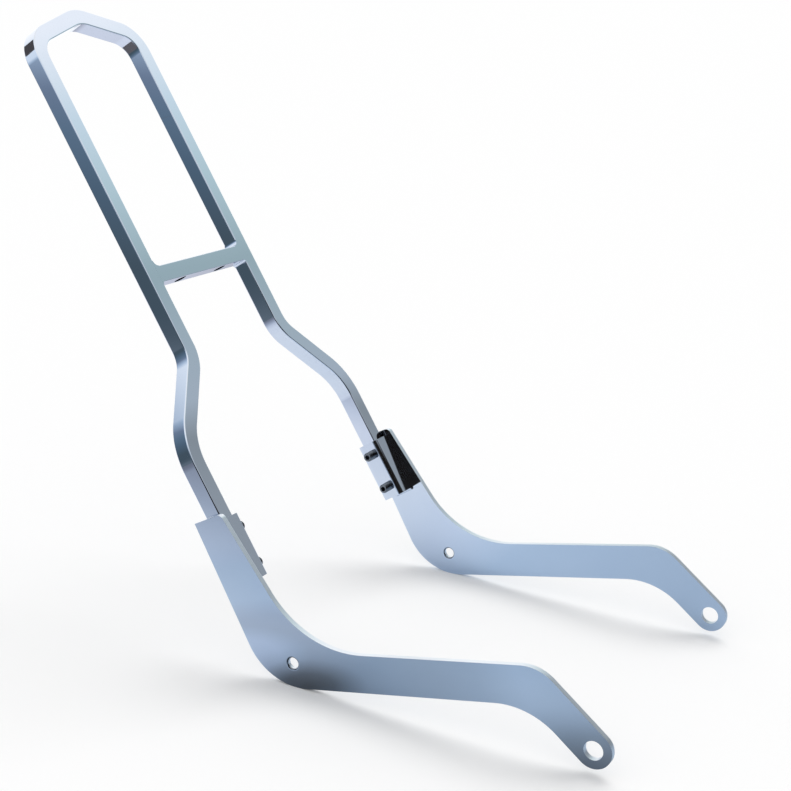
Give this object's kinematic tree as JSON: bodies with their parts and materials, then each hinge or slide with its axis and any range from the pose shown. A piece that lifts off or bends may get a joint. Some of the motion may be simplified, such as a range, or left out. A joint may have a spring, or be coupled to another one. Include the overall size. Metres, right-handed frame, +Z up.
{
  "type": "sissy bar",
  "caption": "Chrome sissy bar: a square-bar hoop with a pointed top and a crossbar, its legs held by set screws in receivers on flat side plates that bolt to a motorbike's fender struts.",
  "frame": {"origin": "midway between the two rear mounting holes, on their common axis", "axes": "+X to the machine's right along the hole axis, +Y forward towards the front mounting holes, +Z up"},
  "size_m": [0.2668, 0.5724, 0.4746],
  "materials": {
    "polished_bar": "polished chrome plate",
    "polished_plate": "polished chrome plate",
    "polished_tube": "polished chrome plate",
    "screw_steel": "dark plated, threaded"
  },
  "bodies": {
    "root": {"upright_hoop": "polished_bar", "crossbar": "polished_bar", "side_plate_right": "polished_plate", "side_plate_left": "polished_plate", "receiver_right": "polished_tube", "receiver_left": "polished_tube", "set_screws": "screw_steel"}
  },
  "joints": []
}
